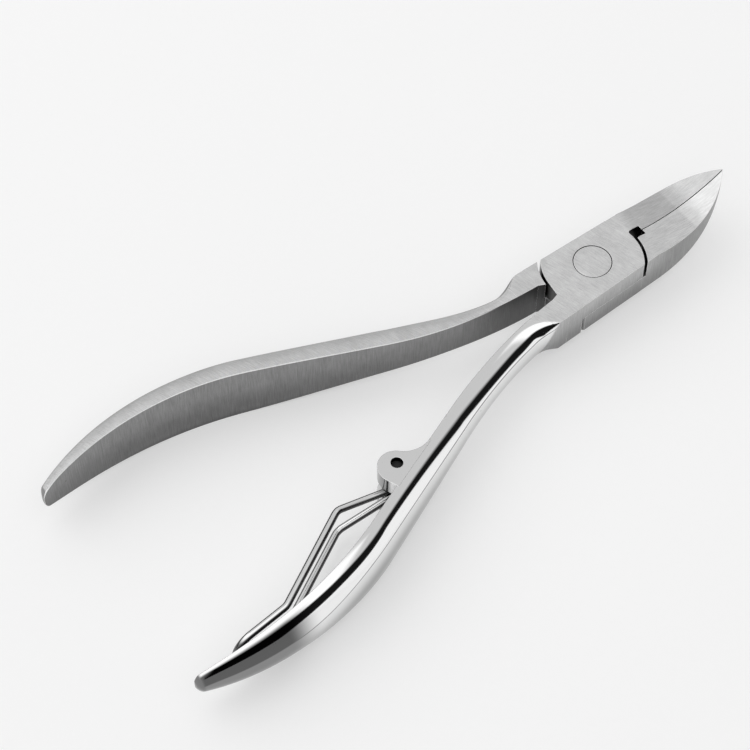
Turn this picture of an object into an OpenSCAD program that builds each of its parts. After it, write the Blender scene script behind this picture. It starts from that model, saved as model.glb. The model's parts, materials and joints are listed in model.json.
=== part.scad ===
// Plier-type toenail nipper: two forged levers crossed in a riveted lap joint,
// with a bent wire spring hinged in a slotted boss on one handle.
// Millimetres. +X points to the jaw tips, +Y to the left, +Z up.
// The origin lies on the resting plane under the middle of the closed tool.

/* [Overall] */
// Distance from the pivot to the ends of the handles
handle_reach = 90; // [86:1:91]
// Distance from the pivot to the tips of the jaws
jaw_reach = 27.3; // [26.5:0.1:28.5]

/* [Joint] */
// Thickness of the lap joint, both plates together
joint_t = 7.2; // [6.6:0.1:7.6]
// Distance from the pivot to the side with the upper lever's jaw
left_w = 4.95; // [4.8:0.05:5.4]
// Distance from the pivot to the side with the lower lever's jaw
right_w = 5.5; // [5.3:0.05:5.7]
// Radius of the round ends of both joint plates
plate_r = 8.1; // [7.9:0.05:8.3]
// Gap between a plate's round end and the shoulder it turns in
shoulder_gap = 0.5; // [0.35:0.05:0.6]
// Gap between the two joint plates
lap_gap = 0.04; // [0.02:0.01:0.06]
// Diameter of the pivot rivet
rivet_d = 6.2; // [5:0.1:6.8]
// Radial running clearance of the rivet in the lower lever
rivet_clearance = 0.03; // [0.02:0.01:0.06]
// Chamfer round both ends of the rivet
rivet_chamfer = 0.12; // [0.05:0.01:0.2]

/* [Jaws] */
// Gap between the closed cutting edges
cut_gap = 0.14; // [0.03:0.01:0.2]
// Length of the relief notch at the root of the cutting edges
notch_len = 2.2; // [1.6:0.1:2.6]
// Width of that notch
notch_w = 1.8; // [1.4:0.1:2]
// Radius of the hollow grind across the top of the jaws
hollow_r = 27; // [26:0.5:30]
// Distance from the pivot to the lowest line of the hollow grind
hollow_x = 16; // [15:0.5:17]
// Depth of the hollow grind below the top of the joint
hollow_depth = 0.9; // [0.7:0.05:1]
// Radius of the belly that sweeps the jaws up to their tips
belly_r = 21.7; // [21.7:0.1:24]
// Exponent of the upper lever's jaw outline, higher is blunter
left_fullness = 6; // [4:0.1:6.5]
// Exponent of the lower lever's jaw outline, higher is blunter
right_fullness = 4.8; // [4:0.1:6.5]
// Height of the flat cutting land at the root of the jaws
land_h = 2.4; // [1.8:0.1:2.8]
// Half width of the relief groove between the jaws at their underside
relief_half_w = 1.9; // [1.2:0.1:2.4]

/* [Handles] */
// Radius of the hollow stretch of a handle's inner edge, next to the joint
handle_hollow_r = 80; // [76:1:84]
// Angle between a handle's straight stretch and the centre line
splay = 22; // [21.5:0.5:22.5]
// Length of the straight stretch along the centre line
straight_len = 21; // [20:0.5:22]
// Radius of the bowed stretch near a handle's end
bow_r = 59; // [57:1:62]
// Thickness of the upper lever's handle just behind the joint
upper_pad_t = 3.9; // [3.8:0.05:4]
// Thickness of the upper lever's handle at its neck
upper_neck_t = 3.3; // [3:0.1:3.5]
// Thickness of the lower lever's handle just behind the joint
lower_pad_t = 3.66; // [3.6:0.02:3.76]
// Thickness of the lower lever's handle at its neck
lower_neck_t = 2.5; // [2.3:0.1:2.8]
// Thickness of a handle at its middle, across the flat inner face
handle_t = 3.5; // [3:0.1:3.8]
// Thickness of a handle at its end
handle_end_t = 1.3; // [1:0.1:1.8]
// Greatest height of a handle
handle_h = 11.4; // [10.8:0.1:12]
// Height of a handle where it is narrowest, behind the joint
neck_h = 6.7; // [6.4:0.1:7]

/* [Spring boss] */
// Distance from the pivot to the spring pin, along the centre line
boss_x = 46.25; // [45.5:0.25:47.25]
// Distance from the handle's inner face to the spring pin
boss_pin_out = 2; // [1.9:0.05:2.2]
// Radius of the boss
boss_r = 2.85; // [2.7:0.05:3]
// Radius of the fillet between the boss and the handle
boss_fillet_r = 4.5; // [3.5:0.5:6]
// Height of the slot for the wire
slot_h = 4.2; // [4:0.1:4.6]
// Diameter of the spring pin
pin_d = 1.9; // [1.6:0.1:1.9]
// Depth of the pin's ends below the faces of the boss
pin_recess = 0.8; // [0.3:0.1:1.2]

/* [Wire spring] */
// Diameter of the spring wire
wire_d = 1.15; // [0.9:0.05:1.2]
// Distance between the two wires inside the boss
wire_pitch = 2.8; // [2.6:0.1:2.9]
// Distance between the two wires beyond their first bend
wire_spread = 6; // [4:0.2:6.4]
// Running clearance round the spring pin
eye_clearance = 0.08; // [0.05:0.01:0.1]
// Radius of the bends in the wire, at its centre
bend_r = 2.5; // [2:0.1:3]

/* [Hidden] */
$fn = 96;
joint_slip = 0.01;                            // how far the jaw runs behind the pivot
spare = 1;                                    // how far a cutting shape runs past the solid
joint_h = joint_t / 2;
pivot = [(handle_reach - jaw_reach) / 2, 0, handle_h / 2];
shoulder_r = plate_r + shoulder_gap;
pad_x = -11.3;                                // end of the flat pad behind the joint
neck_x = -16;                                 // thinnest place of a handle, from above
low_x = -24;                                  // lowest place of a handle, from the side
full_x = -31;                                 // where a handle has its full thickness
tall_x = -60;                                 // where a handle has its full height
thin_x = -66;                                 // where a handle starts to thin towards its end
round_len = 32;                               // length of the ellipse that ends a handle
root_x = -9.6;                                // rear face of the block that carries a handle
root_overlap = 0.5;                           // length of handle inside that block
root_ledge = 0.03;                            // how far the block stands proud of the handle
upper_crotch = [-8.4, 1.39];                  // corner between the plate and the upper handle
lower_crotch = [-8.35, 1.05];                 // the same on the lower lever
crotch_back_y = -0.9;                         // where the straight rear edge meets the plate

// The inner edge of a handle: hollow arc, straight, bowed arc, each tangent to the next.
hollow_start_x = -4.45;
hollow_start_y = 1.55;
straight_x = hollow_start_x - handle_hollow_r * sin(splay);
straight_y = hollow_start_y + handle_hollow_r * (1 - cos(splay));
bow_x = straight_x - straight_len;
bow_y = straight_y + straight_len * tan(splay);
bow_centre_x = bow_x - bow_r * sin(splay);
bow_centre_y = bow_y - bow_r * cos(splay);

function inner_y(x) =
    x > straight_x ? hollow_start_y + handle_hollow_r
        - sqrt(pow(handle_hollow_r, 2) - pow(x - hollow_start_x, 2))
    : x > bow_x ? straight_y + (straight_x - x) * tan(splay)
    : bow_centre_y + sqrt(pow(bow_r, 2) - pow(x - bow_centre_x, 2));

slope_step = 0.05;
function inner_slope(x) =
    (inner_y(x - slope_step) - inner_y(x + slope_step)) / (2 * slope_step);

// A smooth step from 0 at a to 1 at b.
function ease(x, a, b) =
    let (t = min(1, max(0, (x - a) / (b - a)))) t * t * (3 - 2 * t);

function blend(p, q, t) = p + (q - p) * t;

// Shrinks a section inside the rounded corners of a handle's end.
end_round_len = 0.8;                          // length of the rounding
end_fullness = 0.9;                           // 1 would round the end to a point
function end_round(x) =
    sqrt(1 - pow(end_fullness * max(0, end_round_len - handle_reach - x) / end_round_len, 2));

// Thickness of a handle: pad behind the joint, neck, full middle, thin end.
function thickness(x, pad_t, neck_t) =
    x > neck_x ? blend(pad_t, neck_t, ease(x, pad_x, neck_x))
    : x > thin_x ? blend(neck_t, handle_t, ease(x, neck_x, full_x))
    : end_round(x)
        * (handle_t - (handle_t - handle_end_t) * pow((thin_x - x) / (thin_x + handle_reach), 2));

// Half height of the flat inner face, which ends in a quarter of an ellipse.
function half_height(x) =
    x > low_x ? blend(joint_h - root_ledge, neck_h / 2, ease(x, pad_x, low_x))
    : x > tall_x ? blend(neck_h / 2, handle_h / 2, ease(x, low_x, tall_x))
    : handle_h / 2 * sqrt(1 - pow((tall_x - x) / round_len, 2)) * end_round(x);

// Rises at once from 0 at start and levels off at 1 after the length, towards -X.
function ease_out(x, start, length) = 1 - pow(1 - min(1, max(0, (start - x) / length)), 2);

// How far across a handle its rounding reaches from the outer edge, 0 to 1.
roll_len = 4.2;                               // length over which the outer edge sinks
function roll(x) = ease_out(x, pad_x, 2 * roll_len);

// How high the outer face's edge stays, as a share of the inner one: full at the pad, then
// as given at the neck, the middle and the thin end. The upper lever is rounded off more.
upper_crease = [0.42, 0.55, 0.2];
lower_crease = [0.42, 0.75, 0.62];
crease_neck_x = pad_x - roll_len;
crease_mid_x = [-36, -55];
crease_end_x = -76;
function crease(x, shares) =
    x > crease_neck_x ? blend(1, shares[0], ease_out(x, pad_x, roll_len))
    : x > crease_mid_x[1] ? blend(shares[0], shares[1], ease(x, crease_neck_x, crease_mid_x[0]))
    : blend(shares[1], shares[2], ease(x, crease_mid_x[1], crease_end_x));

// One cross section of a handle at x, as points from the bottom inner edge round the
// outside to the top inner edge. The top and bottom are crowned, the outer face is round.
crown_steps = 6;
pad_bunching = 3;                             // above 1 sets the pad's points closer outside
crown_power = 2.2;
crown_share = 0.92;                           // where the crown ends, across the thickness
pad_share = 0.995;                            // the same at the pad, whose side is upright
pad_share_x = -14;
function section(x, pad_t, neck_t, shares) =
    let (
        y0 = inner_y(x),
        t = thickness(x, pad_t, neck_t) * sqrt(1 + pow(inner_slope(x), 2)),
        h = half_height(x),
        share = blend(pad_share, crown_share, ease(x, root_x, pad_share_x)),
        width = roll(x),
        drop = h * (1 - crease(x, shares)) * pow(crown_share, crown_power),
        crown = [for (i = [0 : crown_steps])
            let (
                v = 1 - pow(1 - i / crown_steps, blend(pad_bunching, 1, width)),
                turned = width > 0 ? max(0, v - 1 + width) / width : 0
            )
            [v * share * t, h - drop * pow(turned, crown_power)]]
    )
    concat(
        [for (p = crown) [x, y0 + p[0], -p[1]]],
        [[x, y0 + t, 0]],
        [for (i = [crown_steps : -1 : 0]) [x, y0 + crown[i][0], crown[i][1]]]
    );

// Places of the sections: closer together where the pad turns into the neck, and again
// round the end.
start_x = root_x + root_overlap;
neck_stations = 16;
neck_bunching = 1.3;
middle_stations = 13;
thin_stations = 9;
end_stations = 4;
stations = concat(
    [for (i = [0 : neck_stations - 1])
        blend(start_x, low_x, pow(i / neck_stations, neck_bunching))],
    [for (i = [0 : middle_stations - 1]) blend(low_x, thin_x, i / middle_stations)],
    [for (i = [0 : thin_stations - 1])
        blend(thin_x, end_round_len - handle_reach, i / thin_stations)],
    [for (i = [0 : end_stations])
        end_round_len * (1 - sin(90 * i / end_stations)) - handle_reach]
);

// A handle on the +Y side of the centre line. Each end is closed by a fan of triangles
// round the middle of its section.
module handle(pad_t, neck_t, shares) {
    rings = [for (x = stations) section(x, pad_t, neck_t, shares)];
    n = len(rings[0]);
    last = len(rings) - 1;
    centres = [for (r = [rings[0], rings[last]]) (r[0] + r[n - 1] + 2 * r[crown_steps + 1]) / 4];
    first_centre = (last + 1) * n;
    sides = [for (i = [0 : last - 1], k = [0 : n - 1])
        let (a = i * n + k, b = i * n + (k + 1) % n) each [[a, b + n, a + n], [a, b, b + n]]];
    caps = [for (k = [0 : n - 1]) let (m = (k + 1) % n)
        each [[m, k, first_centre], [last * n + k, last * n + m, first_centre + 1]]];
    polyhedron(concat([for (r = rings) each r], centres), concat(sides, caps));
}

// A side of the tool: distance at the pivot, taper along the joint, fullness of the jaw.
left_side = [left_w, 0.045, left_fullness];
right_side = [right_w, 0.012, right_fullness];
function side_w(x, side) = side[0] - side[1] * min(x, plate_r);

// Half the width of a jaw at x.
function jaw_half_w(x, side) = side_w(x, side) * (1 - pow(x / jaw_reach, side[2]));

// Outline of one jaw on the +Y side, from the pivot to the tip.
outline_steps = 18;
outline_bunching = 1.6;                       // above 1 sets the points closer at the tip
tip_flat = 0.05;                              // length of the blunt end of a tip
module jaw_outline(side) {
    polygon(concat(
        [[0, cut_gap / 2], [0, side_w(0, side)]],
        [for (i = [1 : outline_steps - 1])
            let (x = jaw_reach * (1 - pow(1 - i / outline_steps, outline_bunching)))
            [x, jaw_half_w(x, side)]],
        [[jaw_reach - tip_flat, cut_gap / 2]]
    ));
}

// Side view of a jaw: flat joint, hollow top, belly swept up to the tip.
belly_x = 10;                                 // where the belly leaves the flat underside
jaw_rise = 3;                                 // room for the tips above the joint
module jaw_side() {
    difference() {
        union() {
            translate([-joint_slip, -joint_h]) square([belly_x + joint_slip, joint_t]);
            intersection() {
                translate([belly_x, belly_r - joint_h]) circle(belly_r);
                translate([belly_x, -joint_h]) square([jaw_reach, joint_t + jaw_rise]);
            }
        }
        translate([hollow_x, joint_h - hollow_depth + hollow_r]) circle(hollow_r);
        translate([0, joint_h]) square([hollow_x - sqrt(pow(hollow_r, 2)
            - pow(hollow_r - hollow_depth, 2)), jaw_rise]);
    }
}

// The notch at the root of the cutting edges, with rounded corners next to the plate.
notch_corner_r = 0.4;
corner_step = 15;
module notch_outline() {
    x = plate_r + notch_corner_r;
    y = notch_w / 2 - notch_corner_r;
    polygon(concat(
        [for (f = [90 : corner_step : 180]) [x, y] + notch_corner_r * [cos(f), sin(f)]],
        [for (f = [180 : corner_step : 270]) [x, -y] + notch_corner_r * [cos(f), sin(f)]],
        [[plate_r + notch_len, -notch_w / 2], [plate_r + notch_len, notch_w / 2]]
    ));
}

// A jaw on the +Y side: outline and side view together, less the relief groove that
// leaves a cutting land under the top face, and less the notch at its root.
module jaw(side) {
    difference() {
        intersection() {
            translate([0, 0, -2 * joint_t]) linear_extrude(4 * joint_t) jaw_outline(side);
            translate([0, 2 * side[0], 0]) rotate([90, 0, 0])
                linear_extrude(2 * side[0]) jaw_side();
        }
        translate([plate_r, 0, 0]) rotate([90, 0, 90]) linear_extrude(jaw_reach)
            polygon([[-spare, joint_h - land_h], [cut_gap / 2, joint_h - land_h],
                [relief_half_w, -joint_h - spare], [-spare, -joint_h - spare]]);
        translate([0, 0, -joint_t]) linear_extrude(2 * joint_t) notch_outline();
    }
}

// Full-thickness block that carries the handle, on the +Y side, up to the pivot.
module root_block(pad_t, side, corner) {
    translate([0, 0, -joint_h]) linear_extrude(joint_t) polygon([
        [root_x, inner_y(root_x) - root_ledge],
        corner,
        [-sqrt(pow(plate_r, 2) - pow(crotch_back_y, 2)), crotch_back_y],
        [0, crotch_back_y],
        [0, side_w(0, side)],
        [spare - plate_r, side_w(spare - plate_r, side)],
        [root_x, inner_y(root_x) + pad_t * sqrt(1 + pow(inner_slope(root_x), 2)) + root_ledge]
    ]);
}

// Round plate of the lap joint, clipped by the tool's two sides. Fills z from 0 to the top.
module joint_plate(handle_side, jaw_side) {
    r = plate_r + spare;
    translate([0, 0, lap_gap / 2]) linear_extrude(joint_h - lap_gap / 2) intersection() {
        circle(plate_r);
        polygon([[-r, -side_w(-r, handle_side)], [r, -side_w(r, handle_side)],
            [r, side_w(r, jaw_side)], [-r, side_w(-r, jaw_side)]]);
    }
}

// Half of the lap joint with its handle on the -Y side, its plate on top and its jaw on
// the +Y side. Turned over about X, the same shape is the other lever's half.
module lever_half(pad_t, neck_t, shares, handle_side, jaw_side, corner, swept_up) {
    difference() {
        union() {
            mirror([0, 1, 0]) root_block(pad_t, handle_side, corner);
            mirror([0, 0, swept_up ? 0 : 1]) jaw(jaw_side);
        }
        translate([0, 0, -joint_t]) cylinder(r = shoulder_r, h = joint_t + lap_gap / 2);
    }
    joint_plate(handle_side, jaw_side);
    mirror([0, 1, 0]) handle(pad_t, neck_t, shares);
}

// Frame of the spring boss on the -Y handle: origin on the inner face beside the pin,
// X along the handle towards its end, Y square to the face towards the centre line.
module at_boss() {
    translate([-boss_x, -inner_y(-boss_x), 0]) rotate(180 + splay) mirror([0, 1, 0]) children();
}

boss_out = boss_pin_out - 0.3;                // centre of the boss, off the inner face
boss_along = 0.65;                            // centre of the boss, beyond the pin
boss_seat = 0.3;                              // depth that the boss runs into the handle
boss_h = 2 * half_height(-boss_x);
boss_reach = 4;                               // half the length over which its slope is taken
boss_rise = (half_height(-boss_x - boss_reach) - half_height(-boss_x + boss_reach))
    / (2 * boss_reach) * cos(splay);

module boss_profile() {
    reach = sqrt(pow(boss_r + boss_fillet_r, 2) - pow(boss_fillet_r - boss_out, 2));
    translate([boss_along, 0]) {
        translate([0, boss_out]) circle(boss_r);
        translate([0, -boss_seat]) square([boss_r, boss_out + boss_seat]);
        difference() {
            polygon([[0, -boss_seat], [-reach, -boss_seat], [-reach, 0],
                [-reach * boss_r / (boss_r + boss_fillet_r),
                    boss_out + (boss_fillet_r - boss_out) * boss_r / (boss_r + boss_fillet_r)],
                [0, boss_out]]);
            translate([-reach, boss_fillet_r]) circle(boss_fillet_r);
        }
    }
}

// The boss, as high as the handle beside it, with a sloping top and bottom.
boss_block = 40;                              // side of the blocks that cut both slopes
module boss_body() {
    tilt = atan(boss_rise);
    intersection() {
        translate([0, 0, -boss_h]) linear_extrude(2 * boss_h) boss_profile();
        rotate([0, -tilt, 0]) translate([-boss_block / 2, -boss_block / 2, -boss_block])
            cube([boss_block, boss_block, boss_block + boss_h / 2]);
        rotate([0, tilt, 0]) translate([-boss_block / 2, -boss_block / 2, -boss_h / 2])
            cube([boss_block, boss_block, boss_block + boss_h / 2]);
    }
}

eye_r = pin_d / 2 + eye_clearance + wire_d / 2;    // centre of the wire round the pin
pocket_clearance = 0.2;
pocket_r = eye_r + wire_d / 2 + pocket_clearance;  // round recess for the wire's eyes
slot_block = [20, 10];                             // block that opens the slot, along and out

module upper_lever() color("gainsboro") translate(pivot) difference() {
    union() {
        lever_half(upper_pad_t, upper_neck_t, upper_crease, right_side, left_side,
            upper_crotch, true);
        at_boss() boss_body();
    }
    translate([0, 0, -joint_t]) cylinder(d = rivet_d, h = 2 * joint_t);
    at_boss() {
        translate([0, boss_pin_out, -boss_h]) cylinder(d = pin_d, h = 2 * boss_h);
        translate([0, boss_pin_out, -slot_h / 2]) cylinder(r = pocket_r, h = slot_h);
        translate([-slot_block[0] / 2, 0, -slot_h / 2])
            cube([slot_block[0], slot_block[1], slot_h]);
    }
}

module lower_lever() color("silver") translate(pivot) difference() {
    rotate([180, 0, 0])
        lever_half(lower_pad_t, lower_neck_t, lower_crease, left_side, right_side,
            lower_crotch, false);
    translate([0, 0, -joint_t]) cylinder(r = rivet_d / 2 + rivet_clearance, h = 2 * joint_t);
}

module pivot_rivet() color("lightgray") translate(pivot) {
    rotate_extrude() polygon([
        [0, -joint_h], [rivet_d / 2 - rivet_chamfer, -joint_h],
        [rivet_d / 2, -joint_h + rivet_chamfer], [rivet_d / 2, joint_h - rivet_chamfer],
        [rivet_d / 2 - rivet_chamfer, joint_h], [0, joint_h]
    ]);
}

module spring_pin() color("dimgray") translate(pivot) at_boss()
    translate([0, boss_pin_out, pin_recess - boss_h / 2])
        cylinder(d = pin_d, h = boss_h - 2 * pin_recess);

// The wire is one open tube: an eye round the pin, a leg with two bends, the far U-bend,
// and the same again back on the other side. Points are in the frame of the pin.
spread_x = 3.7;                               // where the wires start to spread, past the boss
knee = [10.4, 4.1];                           // first bend, raised off the handle
foot = [27.4, 2.45];                          // second bend, close to the handle
wire_end = [33.7, 4.5];                       // where the far bend starts
eye_wrap = 280;                               // how far the wire goes round the pin
bend_step = 12;                               // angle between rings of the tube in a bend
far_step = 15;                                // the same in the far U-bend
wire_sides = 12;

function heading(p, q) = atan2(q[1] - p[1], q[0] - p[0]);
leg_heading = heading([0, 0], knee) + asin(eye_r / norm(knee));
foot_heading = heading(knee, foot);
end_heading = heading(foot, wire_end);

// Points on an arc from heading a to heading b, each with its heading.
function arc_path(centre, r, a, b) =
    let (steps = ceil(abs(b - a) / bend_step), turn = sign(b - a))
    [for (i = [0 : steps]) let (h = blend(a, b, i / steps))
        [centre + turn * r * [sin(h), -cos(h)], h]];

// The same for a bend at corner p.
function bend_path(p, a, b) =
    arc_path(p - bend_r * tan(abs(b - a) / 2) * [cos(a), sin(a)]
        + sign(b - a) * bend_r * [-sin(a), cos(a)], bend_r, a, b);

spread_point = knee - (knee[0] - spread_x) * [1, tan(leg_heading)];
flat_path = concat(
    arc_path([0, 0], eye_r, leg_heading - eye_wrap, leg_heading),
    [[spread_point, leg_heading]],
    bend_path(knee, leg_heading, foot_heading),
    bend_path(foot, foot_heading, end_heading),
    [[wire_end, end_heading]]
);

// Ring of points round p, spread along directions u and v.
function ring(p, u, v) = [for (k = [0 : wire_sides - 1])
    let (f = 360 * k / wire_sides) p + wire_d / 2 * (cos(f) * u + sin(f) * v)];

// Height of the upper wire's centre, at x along the handle.
function wire_z(x) = blend(wire_pitch, wire_spread,
    min(1, max(0, (x - spread_x) / (knee[0] - spread_x)))) / 2;

function flat_ring(s) = ring([s[0][0], s[0][1], wire_z(s[0][0])],
    [0, 0, 1], [sin(s[1]), -cos(s[1]), 0]);

function far_ring(f) =
    let (u = [sin(f) * cos(end_heading), sin(f) * sin(end_heading), cos(f)])
    ring([wire_end[0], wire_end[1], 0] + wire_spread / 2 * u, u,
        [sin(end_heading), -cos(end_heading), 0]);

module return_spring() color("whitesmoke") translate(pivot) at_boss()
    translate([0, boss_pin_out, 0]) {
        half = concat([for (s = flat_path) flat_ring(s)],
            [for (f = [far_step : far_step : 90]) far_ring(f)]);
        back = [for (i = [len(half) - 2 : -1 : 0])
            [for (p = half[i]) [p[0], p[1], -p[2]]]];
        rings = concat(half, back);
        n = wire_sides;
        last = len(rings) - 1;
        sides = [for (i = [0 : last - 1], k = [0 : n - 1])
            let (a = i * n + k, b = i * n + (k + 1) % n)
            each [[a, a + n, b + n], [a, b + n, b]]];
        start_cap = [for (k = [0 : n - 1]) k];
        end_cap = [for (k = [n - 1 : -1 : 0]) last * n + k];
        polyhedron([for (r = rings) each r], concat(sides, [start_cap, end_cap]));
    }

upper_lever();
lower_lever();
pivot_rivet();
spring_pin();
return_spring();
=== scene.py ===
"""Plier-type nail clipper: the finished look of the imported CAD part.

Shapes are worked out in millimetres round the lever pivot, with the same formulas as the
CAD, only finer, and then moved into the frame in metres. X points to the jaw tips, Y to
the handle without the spring, Z up.
"""
import json
import math

import bmesh
import bpy
from mathutils import Matrix, Vector


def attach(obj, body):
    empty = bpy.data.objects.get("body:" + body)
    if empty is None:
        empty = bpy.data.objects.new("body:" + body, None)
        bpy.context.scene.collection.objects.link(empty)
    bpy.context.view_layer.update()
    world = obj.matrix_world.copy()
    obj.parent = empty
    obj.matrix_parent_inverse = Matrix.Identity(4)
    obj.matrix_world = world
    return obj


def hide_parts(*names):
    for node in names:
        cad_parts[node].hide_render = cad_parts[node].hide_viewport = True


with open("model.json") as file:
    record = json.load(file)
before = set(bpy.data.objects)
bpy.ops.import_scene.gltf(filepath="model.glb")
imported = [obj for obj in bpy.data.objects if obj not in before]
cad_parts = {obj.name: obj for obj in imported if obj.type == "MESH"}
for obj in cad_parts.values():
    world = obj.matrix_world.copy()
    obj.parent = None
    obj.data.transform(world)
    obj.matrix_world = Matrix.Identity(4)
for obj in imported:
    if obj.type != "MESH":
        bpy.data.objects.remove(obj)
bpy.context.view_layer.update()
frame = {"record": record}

MM = 0.001
joints = {joint["name"]: joint for joint in frame["record"]["behaviour"]["joints"]}
PIVOT = Vector(joints["lever_pivot"]["pos_m"])
PIN = (Vector(joints["spring_hinge"]["pos_m"]) - PIVOT) / MM

# ---------------------------------------------------------------- dimensions, millimetres
HANDLE_REACH = 90.0
JAW_REACH = 27.3
JOINT_H = 3.6              # half the joint's thickness
PLATE_R = 8.1
SHOULDER_R = 8.6
LAP_GAP = 0.04
RIVET_R = 3.1
CUT_GAP = 0.14
NOTCH_LEN, NOTCH_W, NOTCH_CORNER_R, NOTCH_BACK = 2.2, 1.8, 0.4, 0.02
HOLLOW_R, HOLLOW_X, HOLLOW_DEPTH = 27.0, 16.0, 0.9
BELLY_R, BELLY_X = 21.7, 10.0
# A side of the tool: distance at the pivot, taper along the joint, fullness of the jaw.
LEFT_SIDE = (4.95, 0.045, 6.0)
RIGHT_SIDE = (5.5, 0.012, 4.8)
LAND_H = 2.4               # height of the cutting land above the relief groove
TIP_FLAT = 0.05
RELIEF_HALF_W = 1.9

HANDLE_HOLLOW_R = 80.0     # inner edge of a handle, next to the joint
HOLLOW_START = (-4.45, 1.55)
SPLAY = math.radians(22)
STRAIGHT_LEN = 21.0
BOW_R = 59.0               # inner edge of a handle, near its end
HANDLE_T, HANDLE_END_T = 3.5, 1.3
HANDLE_H, NECK_H = 11.4, 6.7
ROOT_X = -9.6              # rear face of the block that carries a handle
CROTCH = {"upper": (-8.4, 1.39), "lower": (-8.35, 1.05)}
CROTCH_BACK_Y = -0.9
ROOT_OVERLAP = 0.5         # length of handle inside that block
SLOPE_STEP = 0.05
SPARE = 1                  # how far a cutting shape runs past the solid
ROOT_LEDGE = 0.006
PAD_X, NECK_X, LOW_X, FULL_X, TALL_X, THIN_X = -11.3, -16, -24, -31, -60, -66
CREASE_MIDDLE_X, CREASE_END_X = (-36, -55), -76
ROUND_LEN = 32.0
END_ROUND, END_FLAT = 0.8, 0.9     # rounding of a handle's end: its length and how full
CROWN_POWER, CROWN_SHARE = 2.2, 0.92
PAD_SHARE, PAD_SHARE_X = 0.995, -14.0
# Height of the outer face's edge as a share of the inner one: neck, middle, thin end.
CREASE = {"upper": (0.42, 0.55, 0.2), "lower": (0.42, 0.75, 0.62)}
ROLL_LEN = 4.2             # length over which the outer edge sinks behind the pad
PAD_T = {"upper": 3.9, "lower": 3.66}
NECK_T = {"upper": 3.3, "lower": 2.5}

BOSS_X = 46.25
BOSS_PIN_OUT = 2.0
BOSS_R, BOSS_FILLET_R = 2.85, 4.5
BOSS_IN = 0.3              # how much nearer the handle its centre lies than the pin
BOSS_ALONG, BOSS_SEAT = 0.65, 0.3
BOSS_REACH = 4             # half the length over which the slope of its top is taken
SLOT_H = 4.2
SLOT_BLOCK = (10, 10)      # block that opens the slot: half its length, and its depth
POCKET_CLEARANCE = 0.2
PIN_R, PIN_RECESS = 0.95, 0.8
PIN_CHAMFER = 0.15
PIN_SLIP = 0.002           # keeps two touching round faces apart
RIVET_CLEARANCE = 0.03
RIVET_GROOVE = (0.14, 0.22)        # width and depth of the groove round the rivet's ends
RIVET_LIP = (0.12, 0.02)

WIRE_R = 0.575
WIRE_PITCH, WIRE_SPREAD = 2.8, 6.0
SPREAD_X = 3.7             # where the two wires start to spread, just outside the boss
EYE_CLEARANCE = 0.08
EYE_R = PIN_R + EYE_CLEARANCE + WIRE_R
WIRE_BEND_R = 2.5
KNEE, FOOT, WIRE_END = Vector((10.4, 4.1)), Vector((27.4, 2.45)), Vector((33.7, 4.5))
EYE_WRAP = math.radians(280)
WIRE_NOSE = (0.1, 0.12)    # rounding of the wire's cut ends: length and depth

# ---------------------------------------------------------------- fineness
STATIONS = 200             # sections along a handle, closer together near the joint
STATION_BUNCHING = 1.5
END_STATIONS = 8
PAD_BUNCHING = 3           # above 1 sets the pad's points closer at the outer edge
JAW_STEPS = 48
JAW_BUNCHING = 1.6         # above 1 sets the outline's points closer at the tip
CROWN_STEPS = 14
OUTER_STEPS = 14
ARC_STEPS = 96             # segments in a full circle
BOSS_STEPS, FILLET_STEPS = 40, 24
WIRE_SIDES = 24
FAR_STEPS = 12             # rings in a quarter turn of the far U-bend
BEND_STEP = math.radians(6)
SHARP_ANGLE = math.radians(20)
CURVE_POINTS = 30          # points of a curve that a material follows along a handle


# ---------------------------------------------------------------- formulas of the handle
def blend(start, end, share):
    return start + (end - start) * share


def ease(x, start, end):
    """A smooth step from 0 at start to 1 at end."""
    share = min(1.0, max(0.0, (x - start) / (end - start)))
    return share * share * (3 - 2 * share)


STRAIGHT_X = HOLLOW_START[0] - HANDLE_HOLLOW_R * math.sin(SPLAY)
STRAIGHT_Y = HOLLOW_START[1] + HANDLE_HOLLOW_R * (1 - math.cos(SPLAY))
BOW_X = STRAIGHT_X - STRAIGHT_LEN
BOW_CENTRE = (BOW_X - BOW_R * math.sin(SPLAY),
              STRAIGHT_Y + STRAIGHT_LEN * math.tan(SPLAY) - BOW_R * math.cos(SPLAY))


def inner_y(x):
    """Inner edge of a handle on the +Y side: hollow arc, straight, bowed arc."""
    if x > STRAIGHT_X:
        return (HOLLOW_START[1] + HANDLE_HOLLOW_R
                - math.sqrt(HANDLE_HOLLOW_R ** 2 - (x - HOLLOW_START[0]) ** 2))
    if x > BOW_X:
        return STRAIGHT_Y + (STRAIGHT_X - x) * math.tan(SPLAY)
    return BOW_CENTRE[1] + math.sqrt(BOW_R ** 2 - (x - BOW_CENTRE[0]) ** 2)


def inner_slope(x):
    return (inner_y(x - SLOPE_STEP) - inner_y(x + SLOPE_STEP)) / (2 * SLOPE_STEP)


def thickness(x, which):
    """Thickness square to the inner face: pad, neck, full middle, thin end."""
    if x > NECK_X:
        return blend(PAD_T[which], NECK_T[which], ease(x, PAD_X, NECK_X))
    if x > THIN_X:
        return blend(NECK_T[which], HANDLE_T, ease(x, NECK_X, FULL_X))
    along = (THIN_X - x) / (THIN_X + HANDLE_REACH)
    return (HANDLE_T - (HANDLE_T - HANDLE_END_T) * along ** 2) * end_round(x)


def end_round(x):
    """Shrinks a section inside the rounded corners of a handle's end."""
    along = max(0.0, END_ROUND - HANDLE_REACH - x) / END_ROUND
    return math.sqrt(1 - (END_FLAT * along) ** 2)


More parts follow.
